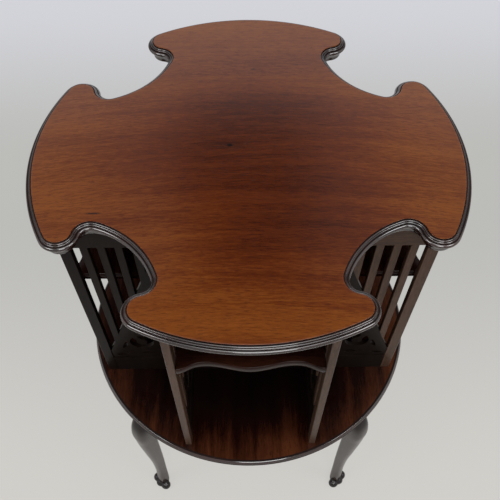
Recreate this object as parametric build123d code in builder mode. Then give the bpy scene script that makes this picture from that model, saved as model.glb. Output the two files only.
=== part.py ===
"""Revolving bookcase table: a lobed top and four slatted arms that turn on a legged base.

Millimetres, +Z up. The origin is on the turning axis, at floor level.
"""

import os
from math import cos, radians, sin, sqrt

from build123d import *

# Heights above the floor
table_height = 738
top_thickness = 20
shelf_height = 365
shelf_thickness = 16
mid_shelf_thickness = 11.5
upper_bay_height = 95.5

# Outline of the top's flat face: four lobes and, on the diagonals, four notches of tangent arcs
lobe_radius = 255
lobe_tip_radius = 16
lobe_tip_spread = 71.4
notch_depth = 76.5
notch_floor_radius = 115
notch_hook_radius = 20

# Edge moulding of the top, outward from the flat face and downward from it
quirk_drop = 1
upper_bead_reach = 2.6
upper_bead_drop = 2.8
upper_bead_bulge = 0.6
cove_reach = 5
cove_drop = 3.8
cove_sag = 0.5
lower_bead_bulge = 2.8
lower_bead_height = 5.8
under_cove_reach = 1
under_cove_sag = 1.6
moulding_root = 6

# Bottom shelf with a rounded edge
shelf_overhang = 3
shelf_nose_reach = 6
shelf_nose_drop = 7
shelf_nose_bulge = 2
shelf_under_reach = 8
shelf_under_bulge = 1

# Case: four arms round a square column, with two side panels to each arm
arm_half_width = 98
arm_setback = 29
column_wall = 10
panel_thickness = 9.5
stile_width = 14.5
top_rail_depth = 28.5
bottom_rail_depth = 40
slat_count = 4
slat_width = 10
slat_thickness = 8
arris = 0.7

# Fret board in the lower inner half of a panel: its slanting edge and its pierced scrolls and leaves.
# Places are shares of the board's width and height, and sizes are shares of its mean size.
fret_thickness = 6.5
fret_foot_rise = 62
fret_head_width = 11
scroll_reach_shares = [0.555, 0.200, 0.388, 0.160]
scroll_rise_shares = [0.170, 0.150, 0.360, 0.450]
scroll_radius_shares = [0.100, 0.085, 0.075, 0.061]
scroll_eye_share = 0.44
scroll_stem_share = 0.45
scroll_stem_turns = [60, 120, 75, 110]
leaf_reach_shares = [0.800, 0.860, 0.500, 0.230]
leaf_rise_shares = [0.139, 0.042, 0.042, 0.640]
leaf_turns = [111, 170, 4, 108]
leaf_length_share = 0.12
leaf_bulge_share = 0.03
leaf_hollow_share = 0.006

# Waved front edge of a middle shelf
mid_shelf_setback = 0.5
wave_hollow_depth = 8.2
wave_crown_depth = 1.5
wave_hollow_share = 0.73

# Legs on the diagonals
leg_setback = 11
knee_width = 35
leg_corner_share = 0.42
leg_block_length = 31
leg_block_width = 30
toe_radius = 9.2
toe_sink = 1
toe_reach = 8.5
toe_side_reach = 5.5
toe_spread = 11.5

# Leg stations from the floor up, in shares of the leg's height, leg_circle and knee_width
leg_station_shares = [
    (0.00, 1.000, 0.48),
    (0.04, 1.000, 0.56),
    (0.10, 0.998, 0.58),
    (0.20, 0.992, 0.54),
    (0.36, 0.990, 0.60),
    (0.56, 1.000, 0.77),
    (0.77, 1.010, 0.93),
    (0.87, 1.008, 1.00),
    (0.94, 0.985, 0.97),
    (1.00, 0.940, 0.80),
]

# Two rails halved across each other under the shelf
cross_rail_width = 34
cross_rail_depth = 40

# Turning gear
spindle_radius = 9
spindle_flange_radius = 55
spindle_flange_thickness = 5
spindle_tip_gap = 2
running_clearance = 0.05
bush_radius = 15
bush_flange_radius = 30
bush_flange_thickness = 2
cup_plate_radius = 40
cup_plate_thickness = 4
cup_boss_radius = 16
cup_boss_depth = 18
screw_setback = 12
screw_radius = 2
screw_head_radius = 4
screw_length = 25
screw_clearance = 0.1

# Worked out from the sizes above
top_underside = table_height - top_thickness
mid_shelf_height = top_underside - upper_bay_height - mid_shelf_thickness
shelf_radius = lobe_radius + shelf_overhang
shelf_underside = shelf_height - shelf_thickness
cross_rail_top = shelf_underside - bush_flange_thickness - spindle_flange_thickness
cross_rail_underside = cross_rail_top - cross_rail_depth
panel_height = top_underside - shelf_height
panel_top_rise = panel_height - top_rail_depth
arm_reach = lobe_radius - arm_setback
stile_inner_reach = arm_reach - stile_width
column_half_width = arm_half_width
fret_width = stile_inner_reach - column_half_width
fret_height = panel_top_rise - bottom_rail_depth
fret_size = sqrt(fret_width * fret_height)
fret_head_reach = column_half_width + fret_head_width
leg_circle = shelf_radius - leg_setback
leg_block_reach = leg_circle - leg_block_length
screw_circle = spindle_flange_radius - screw_setback
bore_radius = spindle_radius + running_clearance
arm_names = ["right", "back", "left", "front"]
corner_names = ["back_right", "back_left", "front_left", "front_right"]
arms = {name: 360 / len(arm_names) * index for index, name in enumerate(arm_names)}
corners = {name: 360 / len(corner_names) * (index + 1 / 2) for index, name in enumerate(corner_names)}
sides = {"left": 1, "right": -1}

os.makedirs("parts", exist_ok=True)


def save(piece, name):
    """Labels a finished piece and writes it as one node."""
    piece.part.label = name
    export_step(piece.part, f"parts/{name}.step")


def outward(angle):
    """Level direction away from the turning axis."""
    return Vector(cos(radians(angle)), sin(radians(angle)), 0)


def level_plane(angle, height):
    """Level plane on the axis, with its local X along an arm or a leg."""
    return Plane(origin=(0, 0, height), x_dir=outward(angle), z_dir=(0, 0, 1))


def panel_plane(angle, side, thickness):
    """Upright plane on one face of a panel piece: local X runs outward, local Y up from the shelf."""
    across = outward(angle - 90)
    middle = side * (arm_half_width - panel_thickness / 2) - thickness / 2
    return Plane(origin=across * middle + Vector(0, 0, shelf_height), x_dir=outward(angle), z_dir=across)


def slant_rise(reach):
    """Height above the shelf of the fret's slanting edge at a distance from the axis."""
    run_share = (stile_inner_reach - reach) / (stile_inner_reach - fret_head_reach)
    return fret_foot_rise + run_share * (panel_top_rise - fret_foot_rise)


def arc_about(centre, radius, start, end):
    """Arc of under a half circle about a centre, as its start, middle and end points."""
    middle = centre + ((start - centre).normalized() + (end - centre).normalized()).normalized() * radius
    return start, middle, end


def tangent_centre(first, first_reach, second, second_reach):
    """Point at set distances from two centres, on the right of the way from the first to the second."""
    span = second - first
    along = (span.length**2 + first_reach**2 - second_reach**2) / (2 * span.length)
    aside = sqrt(first_reach**2 - along**2)
    return first + span.normalized() * along + span.normalized().rotate(Axis.Z, -90) * aside


def notch_arcs():
    """Arcs of the top's flat face round one notch on local +X, from lobe to lobe."""
    floor = Vector(lobe_radius - notch_depth + notch_floor_radius, 0)
    tip_run = sqrt((lobe_radius - lobe_tip_radius) ** 2 - lobe_tip_spread**2)
    tip = Vector(tip_run, -lobe_tip_spread)
    hook_from_floor = notch_floor_radius - notch_hook_radius
    hook = tangent_centre(floor, hook_from_floor, tip, lobe_tip_radius + notch_hook_radius)
    lobe_end = tip.normalized() * lobe_radius
    tip_end = tip + (hook - tip).normalized() * lobe_tip_radius
    hook_end = floor + (hook - floor).normalized() * notch_floor_radius
    near = [
        arc_about(tip, lobe_tip_radius, lobe_end, tip_end),
        arc_about(hook, notch_hook_radius, tip_end, hook_end),
    ]
    far = [tuple(Vector(point.X, -point.Y) for point in reversed(arc)) for arc in reversed(near)]
    floor_arc = arc_about(floor, notch_floor_radius, hook_end, far[0][0])
    return [*near, floor_arc, *far]


def top_outline():
    """Draws the closed outline of the top's flat face, starting where a lobe meets a tip."""
    arcs = notch_arcs()
    angles = list(corners.values())
    for angle, next_angle in zip(angles, [*angles[1:], angles[0]]):
        for arc in arcs:
            ThreePointArc(*[point.rotate(Axis.Z, angle) for point in arc])
        lobe_start = arcs[-1][-1].rotate(Axis.Z, angle)
        lobe_end = arcs[0][0].rotate(Axis.Z, next_angle)
        ThreePointArc(*arc_about(Vector(), lobe_radius, lobe_start, lobe_end))


# Top board: the flat face and the moulding that follows its outline
rim_start = notch_arcs()[0][0].rotate(Axis.Z, corners["back_right"])
rim_outward = rim_start.normalized()
rim_plane = Plane(
    origin=rim_start + Vector(0, 0, table_height),
    x_dir=rim_outward,
    z_dir=rim_outward.rotate(Axis.Z, -90),
)
with BuildPart() as top_board:
    with BuildSketch(Plane.XY.offset(top_underside)):
        with BuildLine():
            top_outline()
        make_face()
    extrude(amount=top_thickness)
    with BuildLine(Plane.XY.offset(table_height)) as rim:
        top_outline()
    with BuildSketch(rim_plane):
        with BuildLine():
            bead_start = (0, -quirk_drop)
            bead_end = (upper_bead_reach, -upper_bead_drop)
            cove_end = (cove_reach, -cove_drop)
            lower_bead_end = (cove_reach, -cove_drop - lower_bead_height)
            under_end = (under_cove_reach, -top_thickness)
            Polyline(under_end, (-moulding_root, -top_thickness), (-moulding_root, -quirk_drop), bead_start)
            SagittaArc(bead_start, bead_end, upper_bead_bulge)
            SagittaArc(bead_end, cove_end, -cove_sag)
            SagittaArc(cove_end, lower_bead_end, lower_bead_bulge)
            SagittaArc(lower_bead_end, under_end, -under_cove_sag)
        make_face()
    sweep(path=rim.wire())
save(top_board, "top_board")

# Bottom shelf: a round board with a rounded edge and a bore for the bush
with BuildPart() as bottom_shelf:
    with BuildSketch(Plane.XZ):
        with BuildLine():
            nose_top = (shelf_radius - shelf_nose_reach, shelf_height)
            nose_tip = (shelf_radius, shelf_height - shelf_nose_drop)
            nose_foot = (shelf_radius - shelf_under_reach, shelf_underside)
            Polyline(nose_foot, (bush_radius, shelf_underside), (bush_radius, shelf_height), nose_top)
            SagittaArc(nose_top, nose_tip, shelf_nose_bulge)
            SagittaArc(nose_tip, nose_foot, shelf_under_bulge)
        make_face()
    revolve(axis=Axis.Z)
save(bottom_shelf, "bottom_shelf")


def make_stile(name, angle, side):
    """Outer upright of a panel, from the bottom shelf to the top."""
    with BuildPart() as stile:
        with BuildSketch(panel_plane(angle, side, panel_thickness)):
            with Locations((stile_inner_reach, 0)):
                Rectangle(stile_width, panel_height, align=Align.MIN)
        extrude(amount=panel_thickness)
        chamfer(stile.edges().filter_by(Axis.Z), length=arris)
    save(stile, name)


def make_rail(name, angle, side, rise, depth):
    """Level rail of a panel, from the column to the stile."""
    with BuildPart() as rail:
        with BuildSketch(panel_plane(angle, side, panel_thickness)):
            with Locations((column_half_width, rise)):
                Rectangle(stile_inner_reach - column_half_width, depth, align=Align.MIN)
        extrude(amount=panel_thickness)
    save(rail, name)


def make_slats(name, angle, side):
    """Upright slats of a panel, from the fret's slanting edge to the top rail.

    They are spaced as if one more slat stood in front of the column, where the fret's head is.
    """
    spare_width = fret_width - (slat_count + 1) * slat_width
    slat_gap = spare_width / (slat_count + 2)
    with BuildPart() as slats:
        with BuildSketch(panel_plane(angle, side, slat_thickness)):
            for index in range(slat_count):
                outer = stile_inner_reach - slat_gap - index * (slat_width + slat_gap)
                inner = outer - slat_width
                with BuildLine():
                    Polyline(
                        (inner, slant_rise(inner)),
                        (outer, slant_rise(outer)),
                        (outer, panel_top_rise),
                        (inner, panel_top_rise),
                        close=True,
                    )
                make_face()
        extrude(amount=slat_thickness)
        chamfer(slats.edges().filter_by(Axis.Z), length=arris)
    save(slats, name)


def fret_place(reach_share, rise_share):
    """Place on a fret, as shares of its width from the column and of its height from the bottom rail."""
    return Vector(column_half_width + reach_share * fret_width, bottom_rail_depth + rise_share * fret_height)


def pierce_scroll(reach_share, rise_share, radius_share, stem_turn):
    """Cuts a scroll: a ring round an eye that hangs on its stem."""
    centre = fret_place(reach_share, rise_share)
    radius = radius_share * fret_size
    with Locations(centre):
        Circle(radius, mode=Mode.SUBTRACT)
        Circle(radius * scroll_eye_share)
    with Locations(Location(centre, (0, 0, stem_turn))):
        Rectangle(radius, radius * scroll_stem_share, align=(Align.MIN, Align.CENTER))


def draw_leaf(reach_share, rise_share, turn):
    """Draws a pointed leaf with one full side and one nearly straight side."""
    middle = fret_place(reach_share, rise_share)
    half = outward(turn) * (leaf_length_share * fret_size / 2)
    SagittaArc(middle - half, middle + half, leaf_bulge_share * fret_size)
    SagittaArc(middle + half, middle - half, leaf_hollow_share * fret_size)


def make_fret(name, angle, side):
    """Pierced board that fills the lower inner half of a panel under its slanting edge."""
    with BuildPart() as fret:
        with BuildSketch(panel_plane(angle, side, fret_thickness)):
            with BuildLine():
                Polyline(
                    (column_half_width, bottom_rail_depth),
                    (stile_inner_reach, bottom_rail_depth),
                    (stile_inner_reach, fret_foot_rise),
                    (fret_head_reach, panel_top_rise),
                    (column_half_width, panel_top_rise),
                    close=True,
                )
            make_face()
            scroll_places = zip(scroll_reach_shares, scroll_rise_shares)
            for place, radius_share, turn in zip(scroll_places, scroll_radius_shares, scroll_stem_turns):
                pierce_scroll(*place, radius_share, turn)
            for leaf in zip(leaf_reach_shares, leaf_rise_shares, leaf_turns):
                with BuildLine():
                    draw_leaf(*leaf)
                make_face(mode=Mode.SUBTRACT)
        extrude(amount=fret_thickness)
    save(fret, name)


for arm, angle in arms.items():
    for side_name, side in sides.items():
        panel = f"{arm}_arm_{side_name}"
        make_stile(f"{panel}_stile", angle, side)
        make_rail(f"{panel}_top_rail", angle, side, panel_top_rise, top_rail_depth)
        make_rail(f"{panel}_bottom_rail", angle, side, 0, bottom_rail_depth)
        make_slats(f"{panel}_slats", angle, side)
        make_fret(f"{panel}_fret", angle, side)


def make_mid_shelf(name, angle):
    """Middle shelf of an arm, with a waved front edge between the two stiles."""
    half_width = arm_half_width - panel_thickness
    front_reach = arm_reach - mid_shelf_setback
    hollow_reach = front_reach - wave_hollow_depth
    hollow_spread = wave_hollow_share * half_width
    with BuildPart() as mid_shelf:
        with BuildSketch(level_plane(angle, mid_shelf_height)):
            with BuildLine():
                Polyline(
                    (front_reach, half_width),
                    (column_half_width, half_width),
                    (column_half_width, -half_width),
                    (front_reach, -half_width),
                )
                Spline(
                    (front_reach, -half_width),
                    (hollow_reach, -hollow_spread),
                    (front_reach - wave_crown_depth, 0),
                    (hollow_reach, hollow_spread),
                    (front_reach, half_width),
                    tangents=[(0, 1), (0, 1)],
                )
            make_face()
        extrude(amount=mid_shelf_thickness)
    save(mid_shelf, name)


def make_column_board(name, angle, half_width):
    """Wall of the square column that the arms stand round, and the back of an arm's compartments."""
    with BuildPart() as board:
        with BuildSketch(level_plane(angle, shelf_height)):
            with Locations((column_half_width - column_wall, 0)):
                Rectangle(column_wall, 2 * half_width, align=(Align.MIN, Align.CENTER))
        extrude(amount=panel_height)
    save(board, name)


for arm, angle in arms.items():
    make_mid_shelf(f"{arm}_mid_shelf", angle)
    corner_lap = 0 if arm in ("front", "back") else column_wall
    make_column_board(f"{arm}_column_board", angle, column_half_width - corner_lap)


def make_leg(name, angle):
    """Cabriole leg with a square block that takes a cross rail, a full knee and a three-toed foot."""
    foot_circle = leg_circle * leg_station_shares[0][1]
    with BuildPart() as leg:
        for height_share, circle_share, width_share in leg_station_shares:
            width = knee_width * width_share
            station = level_plane(angle, cross_rail_top * height_share)
            with BuildSketch(station):
                with Locations((leg_circle * circle_share, 0)):
                    RectangleRounded(width, width, width * leg_corner_share)
        loft()
        with BuildSketch(level_plane(angle, cross_rail_underside)):
            with Locations((leg_block_reach, 0)):
                Rectangle(leg_circle - leg_block_reach, leg_block_width, align=(Align.MIN, Align.CENTER))
        extrude(amount=cross_rail_depth)
        side_circle = foot_circle + toe_side_reach
        toes = [(side_circle, -toe_spread), (foot_circle + toe_reach, 0), (side_circle, toe_spread)]
        with Locations(level_plane(angle, toe_radius - toe_sink)):
            with Locations(*toes):
                Sphere(toe_radius)
        split(bisect_by=Plane.XY, keep=Keep.TOP)
    save(leg, name)


for corner, angle in corners.items():
    make_leg(f"{corner}_leg", angle)


def make_cross_rail(name, angle, notch_rise):
    """Rail between two opposite legs, halved at the middle over or under the other rail."""
    with BuildPart() as rail:
        with BuildSketch(level_plane(angle, cross_rail_underside)):
            Rectangle(2 * leg_block_reach, cross_rail_width)
        extrude(amount=cross_rail_depth)
        with BuildSketch(level_plane(angle, cross_rail_underside + notch_rise)):
            Rectangle(cross_rail_width, cross_rail_width)
        extrude(amount=cross_rail_depth / 2, mode=Mode.SUBTRACT)
        with BuildSketch(level_plane(angle, cross_rail_top)):
            with Locations((screw_circle, 0), (-screw_circle, 0)):
                Circle(screw_radius + screw_clearance)
        extrude(amount=-screw_length, mode=Mode.SUBTRACT)
    save(rail, name)


make_cross_rail("lower_cross_rail", corners["back_right"], cross_rail_depth / 2)
make_cross_rail("upper_cross_rail", corners["back_left"], 0)

# Spindle: a round iron post forged on a screwed flange
flange_top = Plane.XY.offset(cross_rail_top + spindle_flange_thickness).rotated((0, 0, corners["back_right"]))
with BuildPart() as spindle:
    with BuildSketch(Plane.XY.offset(cross_rail_top)):
        Circle(spindle_flange_radius)
    extrude(amount=spindle_flange_thickness)
    with BuildSketch(Plane.XY.offset(cross_rail_top)):
        Circle(spindle_radius)
    extrude(amount=top_underside - cup_plate_thickness - spindle_tip_gap - cross_rail_top)
    with Locations(flange_top):
        with PolarLocations(screw_circle, len(corners)):
            CounterSinkHole(screw_radius + screw_clearance, screw_head_radius, spindle_flange_thickness)
save(spindle, "spindle")

# Countersunk screws that hold the flange to the cross rails
screw_head_rim = screw_head_radius - screw_clearance
hung = (Align.CENTER, Align.CENTER, Align.MAX)
with BuildPart() as flange_screws:
    with Locations(flange_top):
        with PolarLocations(screw_circle, len(corners)):
            Cone(screw_radius, screw_head_rim, screw_head_rim - screw_radius, align=hung)
            Cylinder(screw_radius, screw_length, align=hung)
save(flange_screws, "flange_screws")

# Brass bush in the bottom shelf: its flange carries the case on the spindle's flange
with BuildPart() as shelf_bush:
    with BuildSketch(Plane.XY.offset(shelf_underside - bush_flange_thickness)):
        Circle(bush_flange_radius)
        Circle(bore_radius, mode=Mode.SUBTRACT)
    extrude(amount=bush_flange_thickness)
    with BuildSketch(Plane.XY.offset(shelf_underside)):
        Circle(bush_radius)
        Circle(bore_radius, mode=Mode.SUBTRACT)
    extrude(amount=shelf_thickness)
save(shelf_bush, "shelf_bush")

# Pivot cup under the top: a plate with a boss that steadies the spindle's upper end
with BuildPart() as pivot_cup:
    with BuildSketch(Plane.XY.offset(top_underside)):
        Circle(cup_plate_radius)
    extrude(amount=-cup_plate_thickness)
    with BuildSketch(Plane.XY.offset(top_underside - cup_plate_thickness)):
        Circle(cup_boss_radius)
        Circle(bore_radius, mode=Mode.SUBTRACT)
    extrude(amount=-cup_boss_depth)
save(pivot_cup, "pivot_cup")
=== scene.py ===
"""Looks of a revolving bookcase table in polished mahogany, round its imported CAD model. Metres, +Z up."""

import math

import bpy
import numpy as np
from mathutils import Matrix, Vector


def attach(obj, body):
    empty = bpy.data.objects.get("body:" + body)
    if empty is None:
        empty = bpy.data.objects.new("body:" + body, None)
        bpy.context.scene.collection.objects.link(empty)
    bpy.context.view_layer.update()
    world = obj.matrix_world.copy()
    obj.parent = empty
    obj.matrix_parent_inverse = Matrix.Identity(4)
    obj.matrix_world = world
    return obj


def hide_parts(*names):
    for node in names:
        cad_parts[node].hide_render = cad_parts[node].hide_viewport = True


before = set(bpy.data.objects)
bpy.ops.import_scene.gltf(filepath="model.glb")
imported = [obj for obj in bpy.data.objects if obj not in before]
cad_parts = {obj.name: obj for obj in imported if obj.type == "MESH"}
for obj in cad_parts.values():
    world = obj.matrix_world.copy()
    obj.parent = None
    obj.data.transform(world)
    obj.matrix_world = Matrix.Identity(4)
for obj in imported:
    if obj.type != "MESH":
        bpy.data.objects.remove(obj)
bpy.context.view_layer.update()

# Top board: flat face, four lobes and four notches of tangent arcs on the diagonals
TOP_HEIGHT = 0.738
LOBE_RADIUS = 0.255
LOBE_TIP_RADIUS = 0.016
LOBE_TIP_SPREAD = 0.0714
NOTCH_DEPTH = 0.0765
NOTCH_FLOOR_RADIUS = 0.115
NOTCH_HOOK_RADIUS = 0.020
RIM_STEP = 0.0015

# Edge of the top in millimetres, as reach out from the flat face and drop below it
MILLIMETRE = 0.001
MOULDING_QUIRK = [(-2.0, 0.0), (-0.4, 0.0), (-0.25, -0.05), (-0.15, -0.3), (-0.1, -1.7), (0.4, -1.8), (0.7, -1.5)]
MOULDING_CORNERS = [(0.7, -1.1), (2.5, -2.3), (4.1, -3.1), (4.3, -4.1), (5.0, -9.6), (1.0, -20.0)]
MOULDING_BULGES = (0.7, -0.35, -0.05, 2.75, -1.6)
MOULDING_COUNTS = (14, 8, 3, 26, 10)
MOULDING_BACK = (-2.0, -20.0)
QUIRK_ROWS = (2, 6)
BEAD_FOOT_ROWS = (18, 23)
STEP_ROWS = (29, 35)

# Bottom shelf and its thumbnail edge
SHELF_HEIGHT = 0.365
SHELF_THICKNESS = 0.016
SHELF_RADIUS = 0.258
SHELF_COLUMNS = 360
BUSH_RADIUS = 0.015
FLAT_MARGINS = (0.0100, 0.0064)
NOSE_REACH = 0.0060
NOSE_DROP = 0.007
NOSE_BULGE = 0.002
NOSE_UNDERCUT = 0.008
UNDERCUT_BULGE = 0.001
UNDERSIDE_MARGIN = 0.012
NOSE_COUNTS = (12, 8)
NOSE_CROWN_ROWS = (7, 13)

# Middle shelves
ARM_INNER_HALF_WIDTH = 0.0885
COLUMN_HALF_WIDTH = 0.098
MID_SHELF_UNDERSIDE = 0.611
MID_SHELF_THICKNESS = 0.0115
MID_SHELF_FRONT = 0.2255
WAVE_HOLLOW_DEPTH = 0.0082
WAVE_CROWN_DEPTH = 0.0015
WAVE_HOLLOW_SHARE = 0.73
WAVE_END_SHARE = 0.985
WAVE_ROWS = 121
EDGE_EASE = 0.0012
EDGE_MARGIN = 0.012

# Legs on the diagonals
LEG_HEIGHT = 0.342
LEG_CIRCLE = 0.247
KNEE_WIDTH = 0.035
LEG_SQUARENESS = 2.7
LEG_COLUMNS = 112
FOOT_SHARE = 0.07
FOOT_ROWS = 40
SHAFT_ROWS = 110
TOE_JOIN_POWER = 12
LEG_BLOCK_DEPTH = 0.040
LEG_BLOCK_LENGTH = 0.031
LEG_BLOCK_WIDTH = 0.030
TOE_RADIUS = 0.0092
TOE_RISE = 0.0082
TOES = ((0.0055, -0.0115), (0.0085, 0.0), (0.0055, 0.0115))
LEG_STATIONS = np.array([
    (0.00, 1.000, 0.48),
    (0.04, 1.000, 0.56),
    (0.10, 0.998, 0.58),
    (0.20, 0.992, 0.54),
    (0.36, 0.990, 0.60),
    (0.56, 1.000, 0.77),
    (0.77, 1.010, 0.93),
    (0.87, 1.008, 1.00),
    (0.94, 0.985, 0.97),
    (1.00, 0.940, 0.80),
])

ARMS = {"right": 0, "back": 90, "left": 180, "front": 270}
CORNERS = {"back_right": 45, "back_left": 135, "front_left": 225, "front_right": 315}


def turned(points, degrees):
    """Points turned about the upright axis: x' = x cos - y sin, y' = x sin + y cos."""
    c, s = math.cos(math.radians(degrees)), math.sin(math.radians(degrees))
    turn = np.array([(c, s, 0), (-s, c, 0), (0, 0, 1)])
    return points @ turn


def smooth_through(x, knots, values):
    """Cubic Hermite curve through knots, whose slope at a knot is the mean of its neighbours' rise over run."""
    slopes = np.gradient(values, knots)
    i = np.clip(np.searchsorted(knots, x, side="right") - 1, 0, len(knots) - 2)
    run = knots[i + 1] - knots[i]
    t = (x - knots[i]) / run
    rise = values[i + 1] - values[i]
    start, end = slopes[i] * run, slopes[i + 1] * run
    return values[i] + t * start + t**2 * (3 * rise - 2 * start - end) + t**3 * (start + end - 2 * rise)


def bowed(start, end, bulge, count):
    """Points of the circular arc from start to end whose crown lies bulge to the left of the chord, without the end.

    The half angle is twice the arctangent of the bulge over half the chord, and the radius is half the chord over
    its sine.
    """
    start, end = np.array(start), np.array(end)
    chord = end - start
    length = np.hypot(*chord)
    half = 2 * math.atan(2 * bulge / length)
    angle = np.linspace(-half, half, count, endpoint=False)[:, None]
    along = (1 + np.sin(angle) / math.sin(half)) / 2
    rise = length / 2 * (np.cos(angle) - math.cos(half)) / math.sin(half)
    left = np.array((-chord[1], chord[0])) / length
    return start + along * chord + rise * left


def ring_faces(rows, columns, close_rows=False):
    """Quads of a grid whose columns close on themselves, and its rows too where asked."""
    r = np.arange(rows if close_rows else rows - 1)[:, None]
    c = np.arange(columns)[None, :]
    here, there = r * columns, (r + 1) % rows * columns
    nxt = (c + 1) % columns
    return np.stack([here + c, here + nxt, there + nxt, there + c], -1).reshape(-1, 4)


def between(rows, limits):
    """True for the rows from the first limit up to, and without, the second."""
    return (rows >= limits[0]) & (rows < limits[1])


def piece(name, points, faces, body, node, materials, which=0):
    """Makes one smooth mesh that rides on a body and stands for a CAD node; which gives each face's material."""
    mesh = bpy.data.meshes.new(name)
    mesh.from_pydata(points.tolist(), [], [list(map(int, face)) for face in faces])
    mesh.shade_smooth()
    for material in materials:
        mesh.materials.append(material)
    mesh.polygons.foreach_set("material_index", np.broadcast_to(which, len(faces)).astype(np.int32))
    made = bpy.data.objects.new(name, mesh)
    bpy.context.scene.collection.objects.link(made)
    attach(made, body)
    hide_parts(node)


class Shade:
    """A shader socket that takes part in sums; each operation on it adds a Math node."""

    def __init__(self, tree, socket=None):
        self.tree = tree
        self.socket = socket

    def node(self, kind, settings=None, sockets=None, out=0):
        """Adds a node, sets its settings, then its sockets' values or links, and gives one of its outputs."""
        made = self.tree.nodes.new(kind)
        for key, value in (settings or {}).items():
            setattr(made, key, value)
        for key, value in (sockets or {}).items():
            if isinstance(value, Shade):
                self.tree.links.new(value.socket, made.inputs[key])
            else:
                made.inputs[key].default_value = value
        return Shade(self.tree, made.outputs[out])

    def maths(self, operation, *terms):
        return self.node("ShaderNodeMath", {"operation": operation}, dict(enumerate(terms)))

    def __add__(self, other):
        return self.maths("ADD", self, other)

    __radd__ = __add__

    def __sub__(self, other):
        return self.maths("SUBTRACT", self, other)

    def __rsub__(self, other):
        return self.maths("SUBTRACT", other, self)

    def __mul__(self, other):
        return self.maths("MULTIPLY", self, other)

    __rmul__ = __mul__

    def step(self, low, high):
        """0 below low, 1 above high, and a smooth rise between."""
        limits = {"From Min": low, "From Max": high}
        settings = {"interpolation_type": "SMOOTHSTEP"}
        return self.node("ShaderNodeMapRange", settings, {"Value": self, **limits})

    def mix(self, first, second):
        """Colour from first to second as this value goes from 0 to 1."""
        return self.node("ShaderNodeMix", {"data_type": "RGBA"}, {0: self, 6: first, 7: second}, out=2)


def tone(red, green, blue):
    """Linear colour from the eight-bit values that a screen shows."""
    level = np.array((red, green, blue)) / 255
    linear = np.where(level <= 0.04045, level / 12.92, ((level + 0.055) / 1.055) ** 2.4)
    return (*linear.tolist(), 1.0)


def new_finish(name):
    """A new material: itself, its object coordinates and its surface node."""
    material = bpy.data.materials.new(name)
    material.use_nodes = True
    tree = material.node_tree
    place = Shade(tree).node("ShaderNodeTexCoord", out="Object")
    return material, place, tree.nodes["Principled BSDF"]


def feed(surface, **sockets):
    """Links varying values, and sets steady ones, on the surface node."""
    for key, value in sockets.items():
        socket = surface.inputs[key.replace("_", " ")]
        if isinstance(value, Shade):
            value.tree.links.new(value.socket, socket)
        else:
            socket.default_value = value


def parts(place):
    """The three coordinates of a place."""
    return [place.node("ShaderNodeSeparateXYZ", None, {0: place}, out=axis) for axis in "XYZ"]


def laid_along(place, turn, bow):
    """Places turned so that the grain runs along X, and swayed: Y + bow X squared + a slow drift."""
    along = place.node("ShaderNodeMapping", None, {"Vector": place, "Rotation": turn})
    x, y, z = parts(along)
    slow = place.node("ShaderNodeMapping", None, {"Vector": along, "Scale": (0.35, 1.0, 1.0)})
    drift = place.node("ShaderNodeTexNoise", None, {"Vector": slow, "Scale": 9.0, "Detail": 1.0})
    swayed = y + bow * (x * x) + 0.018 * drift
    return place.node("ShaderNodeCombineXYZ", None, {"X": x, "Y": swayed, "Z": z})


def grain(laid, stretch, scale, detail=3.0, roughness=0.55):
    """Noise drawn out along the grain: X is shortened before the noise is read."""
    drawn = laid.node("ShaderNodeMapping", None, {"Vector": laid, "Scale": (stretch, 1.0, 1.0)})
    sockets = {"Vector": drawn, "Scale": scale, "Detail": detail, "Roughness": roughness}
    return laid.node("ShaderNodeTexNoise", None, sockets)


def spot(place, x, y, long, wide):
    """1 inside a small oval on the top, falling softly to 0 at its edge."""
    offset = place.node("ShaderNodeVectorMath", {"operation": "SUBTRACT"}, {0: place, 1: (x, y, TOP_HEIGHT)})
    shrunk = place.node("ShaderNodeVectorMath", {"operation": "DIVIDE"}, {0: offset, 1: (long, wide, 1.0)})
    away = place.node("ShaderNodeVectorMath", {"operation": "LENGTH"}, {0: shrunk}, out="Value")
    return 1 - away.step(0.25, 1.0)


# Marks of the top: x, y, half length along X, half width
KNOT_EYE = (-0.0227, 0.0168, 0.0050, 0.0036)
KNOT_SHADOW = (-0.0250, 0.0165, 0.0420, 0.0100)
LEFT_FLECK = (-0.1747, -0.0868, 0.0130, 0.0020)
BACK_FLECK = (0.0079, 0.1531, 0.0050, 0.0024)
RED_HEART = (0.070, -0.130, 0.150, 0.120)


def knots(place):
    """Marks of the top: a knot near the middle with its shadow in the grain, and two small flecks."""
    flecks = 0.75 * spot(place, *LEFT_FLECK) + 0.5 * spot(place, *BACK_FLECK)
    return 0.80 * spot(place, *KNOT_EYE) + 0.30 * spot(place, *KNOT_SHADOW) + flecks


def dark_toes_and_knee_shade(place):
    """Darker at a leg's ends: a dark stain on the toes at the floor, and a painted shadow of the shelf on the knee
    below it.
    """
    z = parts(place)[2]
    # the second term is the painted shadow of the shelf on the knee
    return 0.92 * (1 - z.step(0.012, 0.036)) + 0.75 * z.step(0.275, 0.325)


def from_axis(place):
    """Distance of a place from the turning axis."""
    level = place.node("ShaderNodeVectorMath", {"operation": "MULTIPLY"}, {0: place, 1: (1.0, 1.0, 0.0)})
    return place.node("ShaderNodeVectorMath", {"operation": "LENGTH"}, {0: level}, out="Value")


def faded_rim(place):
    """Paler towards the rim of the top, less so at the right of the front: the distance from the axis, stepped."""
    drift = place.node("ShaderNodeTexNoise", None, {"Vector": place, "Scale": 7.0, "Detail": 2.0})
    red_heart = spot(place, *RED_HEART)
    return (from_axis(place) + 0.10 * (drift - 0.5)).step(0.02, 0.25) - 0.45 * red_heart


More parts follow.
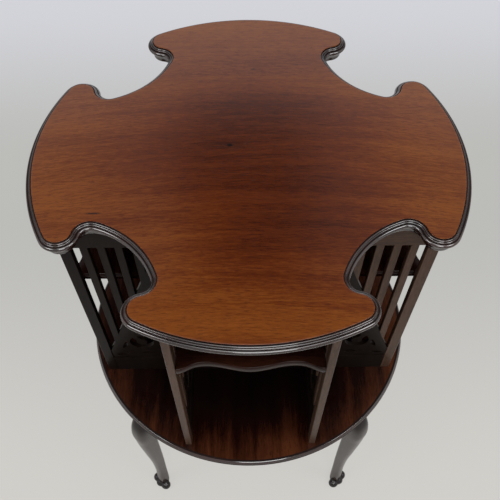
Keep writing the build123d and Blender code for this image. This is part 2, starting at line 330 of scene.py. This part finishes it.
def painted_light_on_shelf_rim(place):
    """Painted light and shade: paler on the shelf's outer ring, where the light falls past the top, than in the top's
    shadow under the case.
    """
    drift = place.node("ShaderNodeTexNoise", None, {"Vector": place, "Scale": 12.0, "Detail": 2.0})
    return (from_axis(place) + 0.06 * (drift - 0.5)).step(0.15, 0.27)


ALONG_X = (0.0, 0.0, 0.0)
ALONG_Y = (0.0, 0.0, math.radians(-90))
ALONG_Z = (0.0, math.radians(90), 0.0)
ALONG_DIAGONAL = (0.0, 0.0, math.radians(-45))

# Dark colour of knots, stains and painted shade
STAIN_AND_SHADE_DARK = tone(12, 7, 6)


def mahogany(name, turn, tones, contrast=0.16, polish=0.14, coat=0.0, bow=0.0, index=1.45,
             weights=(0.26, 0.30, 0.44), fade_and_painted_light=None, stain_and_painted_shade=None):
    """Polished mahogany in three tones from deep to light: slow bands, streaks, fibres and short dark pores.

    The weights are the shares of bands, streaks and fibres, and the contrast is how far from the middle of their
    sum the lightest and deepest tones are reached. Fade and painted light is a share that lifts the tone: real fading
    on the top, painted light on the bottom shelf. Stain and painted shade is a share of dark colour: knots and stain,
    and a painted shadow on the knees.
    """
    material, place, surface = new_finish(name)
    deep, middle, light = tones
    laid = laid_along(place, turn, bow)
    band = grain(laid, stretch=0.12, scale=26.0)
    streak = grain(laid, stretch=0.045, scale=110.0, detail=6.0, roughness=0.72)
    fibre = grain(laid, stretch=0.130, scale=560.0, roughness=0.80)
    pore = grain(laid, stretch=0.120, scale=900.0, detail=1.0).step(0.57, 0.68)
    figure = weights[0] * band + weights[1] * streak + weights[2] * fibre
    figure = figure.step(0.5 - contrast, 0.5 + contrast)
    if fade_and_painted_light is not None:
        figure = 0.5 * figure + 0.5 * fade_and_painted_light(place)
    colour = figure.step(0.40, 1.0).mix(figure.step(0.0, 0.60).mix(deep, middle), light)
    colour = (0.40 * pore).mix(colour, deep)
    if stain_and_painted_shade is not None:
        colour = stain_and_painted_shade(place).mix(colour, STAIN_AND_SHADE_DARK)
    height = 0.4 * fibre - pore
    bump = place.node("ShaderNodeBump", None, {"Strength": 0.08, "Distance": 0.0002, "Height": height})
    feed(surface, Base_Color=colour, Roughness=polish + 0.08 * streak + 0.05 * pore, Normal=bump)
    feed(surface, Coat_Weight=coat, Coat_Roughness=0.06, Coat_IOR=1.7, IOR=index)
    return material


def metal(name, colour, roughness):
    """Worn metal: its colour and shine drift with fine noise."""
    material, place, surface = new_finish(name)
    drift = place.node("ShaderNodeTexNoise", None, {"Vector": place, "Scale": 160.0, "Detail": 4.0})
    dull = (*(0.55 * part for part in colour[:3]), 1.0)
    feed(surface, Base_Color=drift.step(0.3, 0.7).mix(dull, colour), Metallic=1.0)
    feed(surface, Roughness=roughness + 0.25 * drift)
    return material


TOP_TONES = tone(58, 20, 6), tone(92, 40, 12), tone(122, 66, 23)
RIM_TONES = tone(24, 12, 9), tone(38, 19, 14), tone(54, 28, 19)
SHELF_TONES = tone(10, 3, 2), tone(28, 9, 5), tone(80, 42, 24)
BOARD_TONES = tone(16, 6, 4), tone(28, 11, 7), tone(46, 23, 14)
CASE_TONES = tone(66, 47, 37), tone(80, 59, 47), tone(94, 71, 57)
PAINTED_SHADE_TONES = tone(18, 12, 9), tone(24, 17, 13), tone(32, 23, 18)
LEG_TONES = tone(36, 23, 18), tone(47, 33, 26), tone(61, 45, 37)
DARK_TONES = tone(14, 7, 6), tone(22, 11, 8), tone(32, 17, 12)
PATCHY = (0.52, 0.28, 0.20)

top_wood = mahogany("top_mahogany", ALONG_X, TOP_TONES, coat=0.3, bow=0.35, fade_and_painted_light=faded_rim, stain_and_painted_shade=knots)
rim_wood = mahogany("moulding_mahogany", ALONG_X, RIM_TONES, polish=0.08, coat=1.0, index=1.6)
# Painted shade for the moulding's grooves, the shelf's thumbnail and the top's underside
groove_shade_finish = mahogany("groove_shade_mahogany", ALONG_X, DARK_TONES, polish=0.6, index=1.2)
# The bottom shelf is painted with light on its outer ring and with shade under the case
shelf_wood = mahogany("shelf_mahogany", ALONG_Y, SHELF_TONES, polish=0.10, index=1.3, weights=PATCHY,
                      fade_and_painted_light=painted_light_on_shelf_rim)
board_wood_x = mahogany("waved_shelf_mahogany_x", ALONG_X, BOARD_TONES, index=1.25, weights=PATCHY)
board_wood_y = mahogany("waved_shelf_mahogany_y", ALONG_Y, BOARD_TONES, index=1.25, weights=PATCHY)
upright_wood = mahogany("upright_mahogany", ALONG_Z, CASE_TONES, polish=0.30, index=1.28)
level_wood_x = mahogany("level_mahogany_x", ALONG_X, CASE_TONES, polish=0.30, index=1.28)
level_wood_y = mahogany("level_mahogany_y", ALONG_Y, CASE_TONES, polish=0.30, index=1.28)
# Painted shade for the left arm, which the front arm shades, and for the recessed frets and bottom rails
painted_shade_wood = mahogany("painted_shade_mahogany", ALONG_Z, PAINTED_SHADE_TONES, polish=0.30, index=1.2)
# Painted shade: the column boards deep in the compartments are given a dark finish
column_shade_finish = mahogany("column_shade_mahogany", ALONG_Z, DARK_TONES, polish=0.5)
rail_wood = mahogany("underframe_mahogany", ALONG_DIAGONAL, DARK_TONES, polish=0.5)
# The leg's dark ends: stain on the toes, and a painted shadow of the shelf on the knee
leg_wood = mahogany("leg_mahogany", ALONG_Z, LEG_TONES, polish=0.16, index=1.6, stain_and_painted_shade=dark_toes_and_knee_shade)
iron = metal("black_iron", tone(70, 68, 66), 0.45)
brass = metal("dull_brass", tone(168, 132, 70), 0.35)
steel = metal("screw_steel", tone(120, 120, 122), 0.35)


def notch_arcs():
    """Arcs round one notch on +X, from its lobe tip to its floor: centre, radius, first and last angle, outward sign.

    The tip touches the lobe's circle from inside, the hook touches the tip from outside and the floor from inside.
    """
    floor = np.array((LOBE_RADIUS - NOTCH_DEPTH + NOTCH_FLOOR_RADIUS, 0.0))
    tip_run = math.sqrt((LOBE_RADIUS - LOBE_TIP_RADIUS) ** 2 - LOBE_TIP_SPREAD**2)
    tip = np.array((tip_run, -LOBE_TIP_SPREAD))
    span = tip - floor
    length = np.hypot(*span)
    from_floor = NOTCH_FLOOR_RADIUS - NOTCH_HOOK_RADIUS
    from_tip = LOBE_TIP_RADIUS + NOTCH_HOOK_RADIUS
    along = (length**2 + from_floor**2 - from_tip**2) / (2 * length)
    aside = math.sqrt(from_floor**2 - along**2)
    hook = floor + (span * along + np.array((span[1], -span[0])) * aside) / length
    tip_start = math.atan2(tip[1], tip[0])
    tip_end = math.atan2(*(hook - tip)[::-1])
    hook_end = math.atan2(*(hook - floor)[::-1])
    return [
        (tip, LOBE_TIP_RADIUS, tip_start, tip_end, 1),
        (hook, NOTCH_HOOK_RADIUS, tip_end - math.pi, hook_end, -1),
        (floor, NOTCH_FLOOR_RADIUS, hook_end, -math.pi, -1),
    ]


def arc_run(centre, radius, first, last, sign):
    """Points of an arc, an even step apart without its last, and their outward directions."""
    count = max(6, round(abs(last - first) * radius / RIM_STEP))
    angle = np.linspace(first, last, count, endpoint=False)[:, None]
    ray = np.concatenate([np.cos(angle), np.sin(angle)], 1)
    return centre + radius * ray, sign * ray


def top_rim():
    """The closed outline of the top's flat face, with its outward directions: one notch and one lobe, four times."""
    near = [arc_run(*arc) for arc in notch_arcs()]
    points = np.concatenate([run[0] for run in near])
    rays = np.concatenate([run[1] for run in near])
    floor_middle = np.array([(LOBE_RADIUS - NOTCH_DEPTH, 0.0)])
    flip = np.array((1.0, -1.0))
    points = np.concatenate([points, floor_middle, points[:0:-1] * flip])
    rays = np.concatenate([rays, [(1.0, 0.0)], rays[:0:-1] * flip])
    tip_angle = -notch_arcs()[0][2]
    lobe = arc_run(np.zeros(2), LOBE_RADIUS, tip_angle, math.pi / 2 - tip_angle, 1)
    points = np.concatenate([points, lobe[0]])
    rays = np.concatenate([rays, lobe[1]])
    quarters = [math.radians(angle) for angle in CORNERS.values()]
    turns = [np.array([(math.cos(q), math.sin(q)), (-math.sin(q), math.cos(q))]) for q in quarters]
    return np.concatenate([points @ t for t in turns]), np.concatenate([rays @ t for t in turns])


def moulding():
    """Edge of the top: a quirk, then arcs for bead, cove, step, wide bead and under-cove, then the underside."""
    spans = zip(MOULDING_CORNERS, MOULDING_CORNERS[1:], MOULDING_BULGES, MOULDING_COUNTS)
    curves = [bowed(*span) for span in spans]
    return np.concatenate([MOULDING_QUIRK, *curves, [MOULDING_CORNERS[-1], MOULDING_BACK]]) * MILLIMETRE


def top_board():
    """The moulding carried round the rim, closed by the flat face above and the underside below.

    Painted shade darkens the moulding's grooves: the quirk, the line between bead and cove, and the step above the
    wide bead. The underside takes the same painted shade.
    """
    rim, rays = top_rim()
    profile = moulding()
    flat = rim[None] + rays[None] * profile[:, :1, None]
    height = np.broadcast_to(TOP_HEIGHT + profile[:, 1, None, None], (*flat.shape[:2], 1))
    points = np.concatenate([flat, height], -1).reshape(-1, 3)
    rows, columns = len(profile), len(rim)
    sides = ring_faces(rows, columns)[:, ::-1]
    caps = [np.arange(columns), np.arange(columns)[::-1] + (rows - 1) * columns]
    row = np.arange(rows - 1).repeat(columns)
    painted_groove_shade = between(row, QUIRK_ROWS) | between(row, BEAD_FOOT_ROWS) | between(row, STEP_ROWS)
    wood = np.where(row < QUIRK_ROWS[0], 0, np.where(painted_groove_shade, 2, 1))
    woods = [top_wood, rim_wood, groove_shade_finish]
    piece("top", points, [*sides, *caps], "case", "top_board", woods, np.append(wood, (0, 2)))


def bottom_shelf():
    """A profile of bore, flat, thumbnail edge and underside, turned once round the axis.

    The thumbnail is painted dark with shade, but for its crown, which is polished bright.
    """
    r, z = SHELF_RADIUS, SHELF_HEIGHT
    under = z - SHELF_THICKNESS
    tip, foot = (r, z - NOSE_DROP), (r - NOSE_UNDERCUT, under)
    nose = np.concatenate([
        bowed((r - NOSE_REACH, z), tip, NOSE_BULGE, NOSE_COUNTS[0]),
        bowed(tip, foot, UNDERCUT_BULGE, NOSE_COUNTS[1]),
    ])
    flat = [(BUSH_RADIUS, under), (BUSH_RADIUS, z), *((r - margin, z) for margin in FLAT_MARGINS)]
    profile = np.concatenate([flat, nose, [foot, (r - UNDERSIDE_MARGIN, under)]])
    turn = np.linspace(0, 2 * math.pi, SHELF_COLUMNS, endpoint=False)
    reach = profile[:, :1]
    height = np.broadcast_to(profile[:, 1:], (len(profile), len(turn)))
    points = np.stack([reach * np.cos(turn), reach * np.sin(turn), height], -1).reshape(-1, 3)
    faces = ring_faces(len(profile), len(turn), close_rows=True)[:, ::-1]
    row = np.arange(len(profile)).repeat(len(turn))
    shaded_nose = between(row, (len(flat) - 1, len(profile) - 2))
    wood = np.where(between(row, NOSE_CROWN_ROWS), 1, np.where(shaded_nose, 2, 0))
    woods = [shelf_wood, rim_wood, groove_shade_finish]
    piece("round_shelf", points, faces, "case", "bottom_shelf", woods, wood)


def mid_shelf(arm, angle):
    """A shelf whose eased edge profile is carried along its waved front, from stile to stile."""
    half = ARM_INNER_HALF_WIDTH
    across = np.linspace(-half, half, WAVE_ROWS)
    side = np.array((WAVE_HOLLOW_SHARE, WAVE_END_SHARE, 1.0))
    shares = np.concatenate([-side[::-1], [0.0], side])
    depths = np.array((0.0, 0.0, WAVE_HOLLOW_DEPTH, WAVE_CROWN_DEPTH, WAVE_HOLLOW_DEPTH, 0.0, 0.0))
    front = MID_SHELF_FRONT - smooth_through(across, shares * half, depths)
    top, under = MID_SHELF_UNDERSIDE + MID_SHELF_THICKNESS, MID_SHELF_UNDERSIDE
    setbacks = np.array((EDGE_MARGIN, EDGE_EASE, EDGE_EASE * 0.3, 0.0))
    drops = np.array((0.0, 0.0, 0.3, 1.0)) * EDGE_EASE
    heights = np.concatenate([[top], top - drops, under + drops[::-1], [under]])
    back = np.full((WAVE_ROWS, 1), COLUMN_HALF_WIDTH)
    edge = front[:, None] - np.concatenate([setbacks, setbacks[::-1]])
    reach = np.concatenate([back, edge, back], 1)
    rise = np.broadcast_to(heights, reach.shape)
    aside = np.broadcast_to(across[:, None], reach.shape)
    points = turned(np.stack([reach, aside, rise], -1).reshape(-1, 3), angle)
    columns = reach.shape[1]
    sides = ring_faces(WAVE_ROWS, columns)
    caps = [np.arange(columns)[::-1], np.arange(columns) + (WAVE_ROWS - 1) * columns]
    wood = board_wood_y if arm in ("left", "right") else board_wood_x
    piece(f"{arm}_waved_shelf", points, [*sides, *caps], "case", f"{arm}_mid_shelf", [wood])


def leg_section(turn):
    """Radius of a soft square round its middle: (|cos|^p + |sin|^p) to the power -1/p, where p is its squareness."""
    power = LEG_SQUARENESS
    return (np.abs(np.cos(turn)) ** power + np.abs(np.sin(turn)) ** power) ** (-1 / power)


def leg_surface():
    """A cabriole leg on +X: soft squares along an S-shaped line, and toes that swell from its foot.

    A toe's radius seen from the leg's line is that of a ball set off to one side. The leg and its toes are joined
    by the twelfth root of the sum of their twelfth powers, which rounds the valleys between them.
    """
    foot_shares = np.linspace(0, FOOT_SHARE, FOOT_ROWS, endpoint=False)
    share = np.concatenate([foot_shares, np.linspace(FOOT_SHARE, 1, SHAFT_ROWS)])[:, None]
    turn = np.linspace(0, 2 * math.pi, LEG_COLUMNS, endpoint=False)[None]
    line = LEG_CIRCLE * smooth_through(share, LEG_STATIONS[:, 0], LEG_STATIONS[:, 1])
    half = KNEE_WIDTH / 2 * smooth_through(share, LEG_STATIONS[:, 0], LEG_STATIONS[:, 2])
    height = share * LEG_HEIGHT
    radius = (half * leg_section(turn)) ** TOE_JOIN_POWER
    foot = LEG_CIRCLE * LEG_STATIONS[0, 1]
    for reach, aside in TOES:
        ball = np.sqrt(np.clip(TOE_RADIUS**2 - (height - TOE_RISE) ** 2, 0, None))
        out = foot + reach - line
        away, bearing = np.hypot(out, aside), np.arctan2(aside, out)
        seen = ball**2 - (away * np.sin(turn - bearing)) ** 2
        far = away * np.cos(turn - bearing) + np.sqrt(np.clip(seen, 0, None))
        radius = radius + np.where((seen > 0) & (far > 0), far, 0) ** TOE_JOIN_POWER
    radius = radius ** (1 / TOE_JOIN_POWER)
    rise = np.broadcast_to(height, radius.shape)
    points = np.stack([line + radius * np.cos(turn), radius * np.sin(turn), rise], -1)
    rows, columns = radius.shape
    caps = [np.arange(columns)[::-1], np.arange(columns) + (rows - 1) * columns]
    return points.reshape(-1, 3), [*ring_faces(rows, columns), *caps]


def leg_block():
    """The square block behind the knee that takes a cross rail: a box as a grid of its four sides."""
    back, front = LEG_CIRCLE - LEG_BLOCK_LENGTH, LEG_CIRCLE
    half = LEG_BLOCK_WIDTH / 2
    plan = np.array([(back, -half), (front, -half), (front, half), (back, half)])
    low, high = LEG_HEIGHT - LEG_BLOCK_DEPTH, LEG_HEIGHT
    points = np.concatenate([np.insert(plan, 2, low, 1), np.insert(plan, 2, high, 1)])
    return points, [*ring_faces(2, 4), np.arange(4)[::-1], np.arange(4) + 4]


def leg(corner, angle):
    """A leg and its block, turned to their corner."""
    shaft, shaft_faces = leg_surface()
    block, block_faces = leg_block()
    points = turned(np.concatenate([shaft, block]), angle)
    faces = shaft_faces + [face + len(shaft) for face in block_faces]
    piece(f"{corner}_cabriole_leg", points, faces, "base", f"{corner}_leg", [leg_wood])


top_board()
bottom_shelf()
for arm, angle in ARMS.items():
    mid_shelf(arm, angle)
for corner, angle in CORNERS.items():
    leg(corner, angle)

# Finishes of the CAD pieces that stay
for name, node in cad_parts.items():
    if "cross" in name:
        finish = rail_wood
    # Painted shade: the recessed bottom rails and frets, and the whole left arm
    elif name.endswith(("bottom_rail", "fret")) or name.startswith("left_arm"):
        finish = painted_shade_wood
    elif name.endswith("rail"):
        finish = level_wood_y if name.startswith(("back", "front")) else level_wood_x
    # Painted shade inside the compartments
    elif name.endswith("column_board"):
        finish = column_shade_finish
    elif name == "spindle":
        finish = iron
    elif name in ("shelf_bush", "pivot_cup"):
        finish = brass
    elif name == "flange_screws":
        finish = steel
    else:
        finish = upright_wood
    node.data.materials.clear()
    node.data.materials.append(finish)


# Tones of the floor and backdrop that the camera sees, the middle one darkened by a painted fall-off of the light, and
# of the floor as the light finds it
NEAR_FLOOR, DIMMED_MIDDLE_FLOOR, BACKDROP = tone(206, 204, 199), tone(184, 184, 181), tone(212, 213, 220)
LIT_FLOOR, UNSEEN_FLOOR, UNSEEN_FAR_FLOOR = tone(226, 225, 221), tone(200, 197, 192), tone(165, 163, 160)
FLOOR_HALF_WIDTH = 6.0

# Light from the studio's walls and ceiling
FRONT_WALL, SIDE_WALL = (0.40, 0.40, 0.41, 1), (0.65, 0.65, 0.66, 1)
LOW_CORNER, HIGH_CORNER = (0.22, 0.22, 0.22, 1), (0.10, 0.10, 0.10, 1)
LOW_BACK_WALL, HIGH_BACK_WALL = (0.80, 0.80, 0.82, 1), (0.60, 0.62, 0.66, 1)
BEAM_MIDDLE, BEAM_SIDE = (0.02, 0.02, 0.02, 1), (0.20, 0.20, 0.21, 1)
NEAR_CEILING, FAR_CEILING = (0.5, 0.5, 0.5, 1), (0.03, 0.03, 0.03, 1)

# Soft lamps: place, aim, size and power
LAMPS = {
    "overhead_softbox": ((0.3, -1.2, 6.0), (0, 0, 0.4), 3.2, 60),
    "left_softbox": ((-2.6, -1.3, 3.9), (0, 0, 0.5), 1.6, 40),
    "right_softbox": ((2.6, -1.3, 3.9), (0, 0, 0.5), 1.6, 40),
    "front_softbox": ((0.4, -3.0, 3.7), (0, 0, 0.5), 1.6, 40),
}


def pale_floor():
    """A wide pale floor with a soft shadow: the camera sees part of its plain tone and part of its lit surface."""
    material, place, surface = new_finish("pale_floor")
    y = parts(place)[1]
    # Painted fall-off of the light: the plain tone darkens from the near floor to the middle, then pales to the
    # backdrop
    near = y.step(-0.2, 0.55).mix(NEAR_FLOOR, DIMMED_MIDDLE_FLOOR)
    plain = y.step(0.70, 1.45).mix(near, BACKDROP)
    seen = place.node("ShaderNodeLightPath", out="Is Camera Ray")
    unseen = from_axis(place).step(0.45, 1.10).mix(UNSEEN_FLOOR, UNSEEN_FAR_FLOOR)
    feed(surface, Base_Color=seen.mix(unseen, LIT_FLOOR), Roughness=0.6)
    lit = Shade(place.tree, surface.outputs[0])
    glow = place.node("ShaderNodeEmission", None, {"Color": plain})
    shown = place.node("ShaderNodeMixShader", None, {0: 0.85 * seen, 1: lit, 2: glow})
    place.tree.links.new(shown.socket, place.tree.nodes["Material Output"].inputs["Surface"])
    half = FLOOR_HALF_WIDTH
    mesh = bpy.data.meshes.new("floor")
    mesh.from_pydata([(-half, -half, 0), (half, -half, 0), (half, half, 0), (-half, half, 0)], [], [(0, 1, 2, 3)])
    mesh.materials.append(material)
    floor = bpy.data.objects.new("floor", mesh)
    bpy.context.scene.collection.objects.link(floor)


def soft_lamp(name, place, aim, size, power):
    """A square soft lamp at a place, facing an aim."""
    light = bpy.data.lights.new(name, "AREA")
    light.shape = "SQUARE"
    light.size = size
    light.energy = power
    lamp = bpy.data.objects.new(name, light)
    way = Vector(aim) - Vector(place)
    lamp.location = place
    lamp.rotation_euler = way.to_track_quat("-Z", "Y").to_euler()
    bpy.context.scene.collection.objects.link(lamp)


def studio():
    """Pale walls, darker in the far corners, a backdrop behind the table, a pale ceiling round it and four high lamps.

    The camera sees a pale plain backdrop in every direction.
    """
    world = bpy.data.worlds.new("studio")
    bpy.context.scene.world = world
    world.use_nodes = True
    tree = world.node_tree
    way = Shade(tree).node("ShaderNodeTexCoord", out="Generated")
    x, y, z = parts(way)
    aside = x.maths("ABSOLUTE", x)
    corner = y.step(0.15, 0.45) * aside.step(0.32, 0.62)
    sides = y.step(-0.60, -0.10).mix(FRONT_WALL, SIDE_WALL)
    behind = y.step(0.10, 0.55) * (1 - aside.step(0.32, 0.62))
    above = z.step(0.26, 0.40)
    dim = above.mix(LOW_CORNER, HIGH_CORNER)
    back = above.mix(LOW_BACK_WALL, HIGH_BACK_WALL)
    walls = behind.mix(corner.mix(sides, dim), back)
    beam = aside.step(0.05, 0.16).mix(BEAM_MIDDLE, BEAM_SIDE)
    ceiling = y.step(0.28, 0.40).mix(NEAR_CEILING, FAR_CEILING)
    low = 1 - y.step(0.10, 0.34)
    sky = z.step(0.60, 0.70).mix(walls, (z + 0.12 * low).step(0.80, 0.86).mix(beam, ceiling))
    seen = way.node("ShaderNodeLightPath", out="Is Camera Ray")
    tree.links.new(seen.mix(sky, BACKDROP).socket, tree.nodes["Background"].inputs["Color"])
    for name, lamp in LAMPS.items():
        soft_lamp(name, *lamp)


def photo_camera():
    """The camera at the photograph's place: its fall, turn, lens and shifted frame."""
    data = bpy.data.cameras.new("camera")
    data.sensor_width = 36.0
    data.lens = 45.58
    data.shift_x = 0.0026
    data.shift_y = 0.151
    data.clip_end = 50.0
    camera = bpy.data.objects.new("camera", data)
    camera.location = (-0.00594, -0.54796, 1.2890)
    camera.rotation_euler = (math.radians(29.785), 0, math.radians(-0.621))
    bpy.context.scene.collection.objects.link(camera)
    bpy.context.scene.camera = camera


pale_floor()
studio()
photo_camera()
bpy.context.scene.view_settings.view_transform = "Standard"
